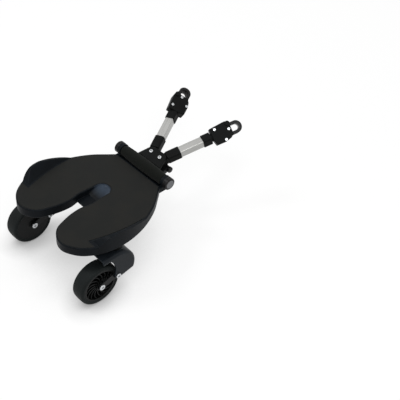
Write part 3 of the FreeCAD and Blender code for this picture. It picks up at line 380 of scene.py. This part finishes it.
# Injection-moulded polypropylene: satin, slightly blue-black, with a fine spark-eroded mould grain, and a lighter
# edge shade that is part wear and part painted highlight along the rims
deck_polypropylene = moulded("moulded_polypropylene", ("#0c0f12", "#111519", "#33383e"), rough=0.42,
                             grain_mm=2.0, depth_mm=0.04, edge_mm=2.0, ior=1.49, shine=0.06)
# Thermoplastic rubber mat: dead matt charcoal with a fine grit that takes the shine off
tread_rubber = moulded("rubber_grip_mat", ("#181918", "#1e1e1c", "#2b2b2a"), rough=0.62,
                       grain_mm=2.6, depth_mm=0.2, edge_mm=1.0, ior=1.5, shine=0.1)
# Glass-filled nylon: hard satin black, a little greyer where the glass comes to the surface
black_nylon = moulded("glass_filled_nylon", ("#0c0d0d", "#111212", "#282a2a"), rough=0.48,
                      grain_mm=1.6, depth_mm=0.06, edge_mm=1.2, ior=1.53, shine=0.06)
# ABS: smooth satin black from a polished mould
cap_abs = moulded("smooth_abs", ("#111112", "#161617", "#2b2b2d"), rough=0.35,
                  grain_mm=3.0, depth_mm=0.02, edge_mm=1.0, ior=1.54, shine=0.15)
# Grey ABS inserts: mid grey, satin
disc_abs = moulded("grey_abs", ("#6e7073", "#76787b", "#8e9092"), rough=0.45,
                   grain_mm=1.8, depth_mm=0.05, edge_mm=0.8, ior=1.54, shine=0.35)
# Powder-coated steel: satin black with a faint orange peel
powder_steel = moulded("powder_coated_steel", ("#101112", "#151617", "#2f3134"), rough=0.42,
                       grain_mm=2.2, depth_mm=0.08, edge_mm=1.0, ior=1.5, shine=0.15)
# Moulded polypropylene hood: dark slate, satin, with a lighter edge shade that is part wear and part painted
# highlight
hood_polypropylene = moulded("slate_polypropylene", ("#15191d", "#1c2126", "#424a51"), rough=0.42,
                             grain_mm=2.0, depth_mm=0.05, edge_mm=2.0, ior=1.49, shine=0.12)
# Moulded wheel nylon: deep black, satin, rubbed on the rib edges, where the lighter edge shade is part wear and
# part painted highlight
rim_nylon = moulded("wheel_nylon", ("#080909", "#0d0e0e", "#3c4040"), rough=0.4,
                    grain_mm=1.8, depth_mm=0.05, edge_mm=0.9, ior=1.53, shine=0.12)
# Cast polyurethane tyre: matt near-black with a fine dusty drift
tyre_polyurethane = moulded("cast_polyurethane", ("#141717", "#1b1f1f", "#2e3232"), rough=0.6,
                            grain_mm=2.4, depth_mm=0.1, edge_mm=1.0, ior=1.5, shine=0.1)
# Moulded rubber strap: smooth black with soft bright reflections
strap_rubber = moulded("smooth_rubber", ("#0c0c0d", "#121213", "#272729"), rough=0.3,
                       grain_mm=3.0, depth_mm=0.03, edge_mm=0.6, ior=1.52, shine=0.18)
chute_with_painted_sheen = polished_chute_painted_sheen("polished_polypropylene_painted_sheen")
bright_zinc = zinc_plate("bright_zinc_plate", "#b9bcbe", "#d3d5d7", 0.24)
spring_zinc = zinc_plate("zinc_spring_wire", "#a9adb0", "#c4c7ca", 0.3)
foam = cell_foam("closed_cell_foam")
tube_metals = {
    side: anodised_aluminium("anodised_aluminium_" + side, Vector(joints["connector_turn_" + side]["axis"]))
    for side in sides}

finishes = [
    (deck_polypropylene, ["deck_shell", "deck_underside"]),
    (tread_rubber, ["deck_tread"]),
    (black_nylon, ["hub_upper", "hub_lower", "arm_sleeve", "arm_collar", "connector_top", "connector_base",
                   "castor_housing", "swivel_bolt"]),
    (cap_abs, ["handle_cap"]),
    (disc_abs, ["handle_disc"]),
    (powder_steel, ["hinge_bracket", "hinge_pin", "handle_bar", "swing_arm"]),
    (hood_polypropylene, ["castor_fork"]),
    (rim_nylon, ["wheel_rim"]),
    (tyre_polyurethane, ["wheel_tyre"]),
    (strap_rubber, ["strap_loop"]),
    (bright_zinc, ["underside_screws", "hub_screws", "connector_screws", "pivot_bolts", "axle_bolt",
                   "castor_stem"]),
    (spring_zinc, ["castor_spring"]),
    (foam, ["handle_grip"]),
    (tube_metals["left"], ["arm_tube_left"]),
    (tube_metals["right"], ["arm_tube_right"]),
]


def dress_nodes():
    """Gives every solid of the frame its material."""
    for material, names in finishes:
        for name in names:
            for node in (name, name + "_left", name + "_right"):
                if node in nodes:
                    nodes[node].data.materials.clear()
                    nodes[node].data.materials.append(material)


# Foam grip and rubber straps

def add_piece(name, mesh, material, body, node):
    """Links a new piece that moves with a body and stands for a node of the frame, or for none."""
    made = bpy.data.objects.new(name, mesh)
    bpy.context.scene.collection.objects.link(made)
    mesh.materials.append(material)
    mesh.polygons.foreach_set("use_smooth", [True] * len(mesh.polygons))
    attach(made, body)
    if node:
        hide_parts(node)
    return made


def closed_mesh(name, shape):
    """Mesh from a closed shape, with its faces turned outwards."""
    bmesh.ops.recalc_face_normals(shape, faces=shape.faces[:])
    mesh = bpy.data.meshes.new(name)
    shape.to_mesh(mesh)
    shape.free()
    return mesh


def ring_mesh(name, rings, closed):
    """Mesh over rings of points; the last ring joins the first where it is closed, else both are capped."""
    shape = bmesh.new()
    loops = [[shape.verts.new(point) for point in ring] for ring in rings]
    pairs = list(zip(loops, loops[1:]))
    if closed:
        pairs.append((loops[-1], loops[0]))
    for one, two in pairs:
        for i in range(len(one)):
            shape.faces.new((one[i - 1], one[i], two[i], two[i - 1]))
    if not closed:
        shape.faces.new(loops[0])
        shape.faces.new(reversed(loops[-1]))
    return closed_mesh(name, shape)


def grip_profile(half):
    """(x, radius) points of the foam sleeve: full in the middle, with rolled ends, open along its bore."""
    steps = 72
    profile = [(-half, grip_bore)]
    for i in range(steps + 1):
        x = -half * cos(pi * i / steps)
        full = grip_end_radius + (grip_radius - grip_end_radius) * (1 - (x / half) ** 2) ** grip_fullness
        rolled = grip_round - min(half - abs(x), grip_round)
        profile.append((x, full - grip_round + sqrt(grip_round ** 2 - rolled ** 2)))
    profile.append((half, grip_bore))
    return profile


def foam_grip():
    """Foam sleeve on the handle bar, with a slightly uneven skin."""
    around = 64
    low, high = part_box("handle_grip")
    middle = (low + high) / 2
    rings = []
    for x, radius in grip_profile((high.x - low.x) / 2):
        ring = []
        for j in range(around):
            turn = 2 * pi * j / around
            outward = Vector((0, cos(turn), sin(turn)))
            spot = Vector((x, 0, 0)) + outward * radius
            swell = 0.0
            if radius > grip_bore:
                swell = grip_swell * (noise.noise(spot / grip_swell_size) - grip_swell_inward)
            ring.append(middle + spot + outward * swell)
        rings.append(ring)
    grip = add_piece("foam_grip", ring_mesh("foam_grip", rings, True), foam, "deck", "handle_grip")


def strap_section():
    """Section of the strap, as (across its width, out from its inner face): beaded edges, round corners."""
    steps = 4
    far = strap_width / 2 - strap_corner
    high = strap_thickness - strap_corner
    points = []
    for quarter, (x, y) in enumerate(((far, high), (-far, high), (-far, strap_corner), (far, strap_corner))):
        for k in range(steps + 1):
            turn = pi / 2 * (quarter + k / steps)
            points.append((x + strap_corner * cos(turn), y + strap_corner * sin(turn)))
        if quarter == 0:
            sunk = strap_thickness - strap_sunk
            points += [(far - strap_bead, strap_thickness), (far - strap_bead_foot, sunk),
                       (strap_bead_foot - far, sunk), (strap_bead - far, strap_thickness)]
    return points


def strap_line(centre, along, across):
    """Places along the strap's inner face, with the way out at each: a leg, the bend and the other leg."""
    leg_steps = 24
    bend_steps = 44
    legs = [-strap_leg * (1 - i / leg_steps) for i in range(leg_steps)]
    places = [(centre - across * strap_inner_radius + along * reach, -across) for reach in legs]
    for i in range(bend_steps + 1):
        turn = pi * i / bend_steps
        outward = along * sin(turn) - across * cos(turn)
        places.append((centre + outward * strap_inner_radius, outward))
    places += [(centre + across * strap_inner_radius + along * reach, across) for reach in reversed(legs)]
    return places


def strap_band(side):
    """Rubber strap bent round into a loop, with gripping cross ribs on its inner face."""
    rings_per_rib = 2
    mount = mounts["strap_" + side]
    up = Vector(mount["axis"])
    along = Vector(joints["connector_turn_" + side]["axis"])
    section = strap_section()
    rings = []
    for i, (place, outward) in enumerate(strap_line(Vector(mount["pos_m"]), along, along.cross(up))):
        rib = strap_rib * (i // rings_per_rib % 2)
        rings.append([place + up * width + outward * (out - rib * max(0.0, 1 - out / strap_corner))
                      for width, out in section])
    mesh = ring_mesh("strap_band_" + side, rings, False)
    add_piece("strap_band_" + side, mesh, strap_rubber, "connector_" + side,
              "strap_loop_" + side)


# Castor springs

def spring_rise(turned, height):
    """Height of the wire's middle after so many turns: flat pitch in the end coils, even pitch between."""
    end_rise = spring_end_turns * spring_end_pitch
    if turned < spring_end_turns:
        return turned * spring_end_pitch
    active = min(turned - spring_end_turns, spring_active_turns)
    last = max(0.0, turned - spring_end_turns - spring_active_turns)
    return end_rise + (height - 2 * end_rise) * active / spring_active_turns + last * spring_end_pitch


def spring_coil(side):
    """Compression spring in the castor's nose; the real spring shortens as the wheel rises, and this one is built
    at one length.
    """
    steps_per_turn = 32
    around = 12
    low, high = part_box("castor_spring_" + side)
    middle = (low + high) / 2
    hand = 1 if side == "right" else -1
    height = high.z - low.z - 2 * spring_wire
    turns = spring_active_turns + 2 * spring_end_turns
    places = []
    for i in range(round(turns * steps_per_turn) + 1):
        turned = i / steps_per_turn
        outward = Vector((hand * cos(2 * pi * turned), sin(2 * pi * turned), 0))
        level = low.z + spring_wire + spring_rise(turned, height)
        places.append((Vector((middle.x, middle.y, level)) + outward * spring_radius, outward))
    rings = []
    for i, (place, outward) in enumerate(places):
        onward = places[min(i + 1, len(places) - 1)][0] - places[max(i - 1, 0)][0]
        sideways = onward.cross(outward).normalized()
        turns_round = [2 * pi * j / around for j in range(around)]
        rings.append([place + (outward * cos(t) + sideways * sin(t)) * spring_wire for t in turns_round])
    mesh = ring_mesh("spring_coil_" + side, rings, False)
    coil = add_piece("spring_coil_" + side, mesh, spring_zinc, "castor_" + side,
                     "castor_spring_" + side)
    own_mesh(coil)


# Smooth chute at the slot's front end

def slot_edge():
    """Points along the slot's edge, from the right wall round its front end to the left wall: how far each
    lies behind the front end, its place and the way out of the slot."""
    wall_steps = 20
    bend_steps = 36
    edge = []
    for i in range(wall_steps):
        behind = chute_length + (slot_radius - chute_length) * i / wall_steps
        half = slot_radius + slot_spread * (behind - slot_radius)
        edge.append((behind, Vector((half, slot_front - behind, 0)), Vector((1, 0, 0))))
    for i in range(bend_steps + 1):
        turn = pi * i / bend_steps
        outward = Vector((cos(turn), sin(turn), 0))
        place = Vector((0, slot_front - slot_radius, 0)) + outward * slot_radius
        edge.append((slot_front - place.y, place, outward))
    mirror = Vector((-1, 1, 1))
    edge += [(behind, place * mirror, out * mirror) for behind, place, out in reversed(edge[:wall_steps])]
    return edge


def between(ends, share):
    """Value at a share of the way from one end to the other."""
    return ends[0] + (ends[1] - ends[0]) * share


def chute_section(behind, place, outward, top):
    """Section of the chute at a point of the slot's edge, over the rolled edge, down the wall and in to the
    spine: the upper skin's points, then the lower skin's."""
    roll_steps = 6
    bowl_steps = 14
    share = max(0.0, behind / chute_length)
    proud = between(chute_proud, max(0.0, (share - chute_sink_start) / (1 - chute_sink_start)))
    squareness = between(chute_squareness, share ** 2)
    spine = Vector((0, slot_front - between((chute_spine_start, chute_length), share), 0))
    depth = between(chute_depths, share ** chute_depth_power)
    up = Vector((0, 0, 1))
    upper = []
    inward = []
    for i in range(roll_steps + 1):
        turn = radians(between((chute_roll_start, 90), i / roll_steps))
        reach = slot_edge_round - (slot_edge_round + proud) * sin(turn)
        level = top - slot_edge_round + (slot_edge_round + proud) * cos(turn)
        upper.append(place + outward * reach + up * level)
        inward.append(0.0)
    foot = place - outward * proud
    for i in range(1, bowl_steps + 1):
        turn = pi / 2 * i / bowl_steps
        across = 1 - max(cos(turn), 0.0) ** (2 / squareness) if i < bowl_steps else 1.0
        down = sin(turn) ** (2 / squareness)
        level = top - slot_edge_round - (depth - slot_edge_round) * down
        upper.append(foot + (spine - foot) * across + up * level)
        inward.append(across)
    lower = [point + outward * chute_skin * (1 - across) - up * chute_skin
             for point, across in zip(upper, inward)]
    return upper, lower


def slot_chute():
    """Smooth closed skin over the slot's front end."""
    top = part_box("deck_tread")[1].z - shell_below_tread
    shape = bmesh.new()
    layers = [[], []]
    for behind, place, outward in slot_edge():
        for layer, points in zip(layers, chute_section(behind, place, outward, top)):
            layer.append([shape.verts.new(point) for point in points])
    upper, lower = layers
    last = len(upper[0]) - 1
    for i in range(len(upper) - 1):
        for layer in layers:
            for j in range(last):
                shape.faces.new((layer[i][j], layer[i + 1][j], layer[i + 1][j + 1], layer[i][j + 1]))
        shape.faces.new((upper[i][0], upper[i + 1][0], lower[i + 1][0], lower[i][0]))
    for end in (0, -1):
        for j in range(last):
            shape.faces.new((upper[end][j], upper[end][j + 1], lower[end][j + 1], lower[end][j]))
    bmesh.ops.remove_doubles(shape, verts=shape.verts[:], dist=0.001 * mm)
    mesh = closed_mesh("slot_chute", shape)
    add_piece("slot_chute", mesh, chute_with_painted_sheen, "deck", None)


# Floor and light

def seen_directly(tree):
    """One for rays from the camera, from a reflection or through a clear piece, and nought for light."""
    path = add_node(tree, "ShaderNodeLightPath", {})
    seen = path.outputs["Is Camera Ray"]
    for ray in ("Is Glossy Ray", "Is Transmission Ray"):
        either = add_node(tree, "ShaderNodeMath", {0: seen, 1: path.outputs[ray]}, operation="MAXIMUM")
        seen = either.outputs["Value"]
    return seen


def add_floor():
    """Wide floor of matt white paper that takes a light, soft shadow: faint under the board, darker where
    the wheels stand."""
    cloud_mm = 400.0
    first, second = (linear(shade) for shade in floor_shades)
    made, tree, place = new_surface("matt_white_paper")
    cloud = add_node(tree, "ShaderNodeTexNoise", {
        "Vector": place, "Scale": per_metre(cloud_mm), "Detail": 2.0})
    tint = add_node(tree, "ShaderNodeMix", {
        factor: cloud.outputs["Fac"], colour_a: first, colour_b: second}, data_type="RGBA")
    seen = seen_directly(tree)
    shade = add_node(tree, "ShaderNodeMix", {
        factor: seen, colour_a: linear(floor_bounce), colour_b: tint.outputs[mixed]}, data_type="RGBA")
    paper = add_node(tree, "ShaderNodeBsdfDiffuse", {"Color": shade.outputs[mixed], "Roughness": 0.9})
    above = add_node(tree, "ShaderNodeAmbientOcclusion", {"Distance": shadow_reach}, samples=16)
    open_sky = add_node(tree, "ShaderNodeMapRange", {
        "Value": above.outputs["AO"], "From Min": shadow_from, "From Max": shadow_to},
        interpolation_type="SMOOTHSTEP")
    soft = add_node(tree, "ShaderNodeMix", {
        factor: open_sky.outputs["Result"], colour_a: linear(shadow_shade), colour_b: linear("#ffffff")},
        data_type="RGBA")
    near = add_node(tree, "ShaderNodeAmbientOcclusion", {"Distance": contact_reach}, samples=12)
    contact = add_node(tree, "ShaderNodeMix", {
        factor: near.outputs["AO"], colour_a: linear(contact_shade), colour_b: soft.outputs[mixed]},
        data_type="RGBA")
    white = add_node(tree, "ShaderNodeEmission", {"Color": contact.outputs[mixed], "Strength": 1.0})
    share = add_node(tree, "ShaderNodeMath", {0: seen, 1: floor_white_share}, operation="MULTIPLY")
    surface = add_node(tree, "ShaderNodeMixShader", {
        0: share.outputs["Value"], 1: paper.outputs["BSDF"], 2: white.outputs["Emission"]})
    add_node(tree, "ShaderNodeOutputMaterial", {"Surface": surface.outputs["Shader"]})
    mesh = bpy.data.meshes.new("studio_floor")
    corners = [(x * floor_reach, y * floor_reach, 0) for x, y in ((-1, -1), (1, -1), (1, 1), (-1, 1))]
    mesh.from_pydata(corners, [], [(0, 1, 2, 3)])
    mesh.materials.append(made)
    floor = bpy.data.objects.new("studio_floor", mesh)
    floor.location.z = cad_low.z - floor_gap
    bpy.context.scene.collection.objects.link(floor)


def add_lamp(name, place, size, watts):
    """Round softbox aimed at the board."""
    data = bpy.data.lights.new(name, "AREA")
    data.shape = "DISK"
    data.size = size
    data.energy = watts
    lamp = bpy.data.objects.new(name, data)
    bpy.context.scene.collection.objects.link(lamp)
    aim(lamp, place, lamp_target - place, 0)


def add_world():
    """Even white surround: full white to the camera and in reflections, softer as light."""
    world = bpy.data.worlds.new("white_surround")
    bpy.context.scene.world = world
    world.use_nodes = True
    tree = world.node_tree
    tree.nodes.clear()
    level = add_node(tree, "ShaderNodeMapRange", {"Value": seen_directly(tree), "To Min": world_light})
    back = add_node(tree, "ShaderNodeBackground", {
        "Color": linear("#ffffff"), "Strength": level.outputs["Result"]})
    add_node(tree, "ShaderNodeOutputWorld", {"Surface": back.outputs["Background"]})


dress_nodes()
foam_grip()
for side in sides:
    strap_band(side)
    spring_coil(side)
slot_chute()
add_floor()
add_world()
for lamp in lamps:
    add_lamp(*lamp)
bpy.context.scene.view_settings.view_transform = "Standard"
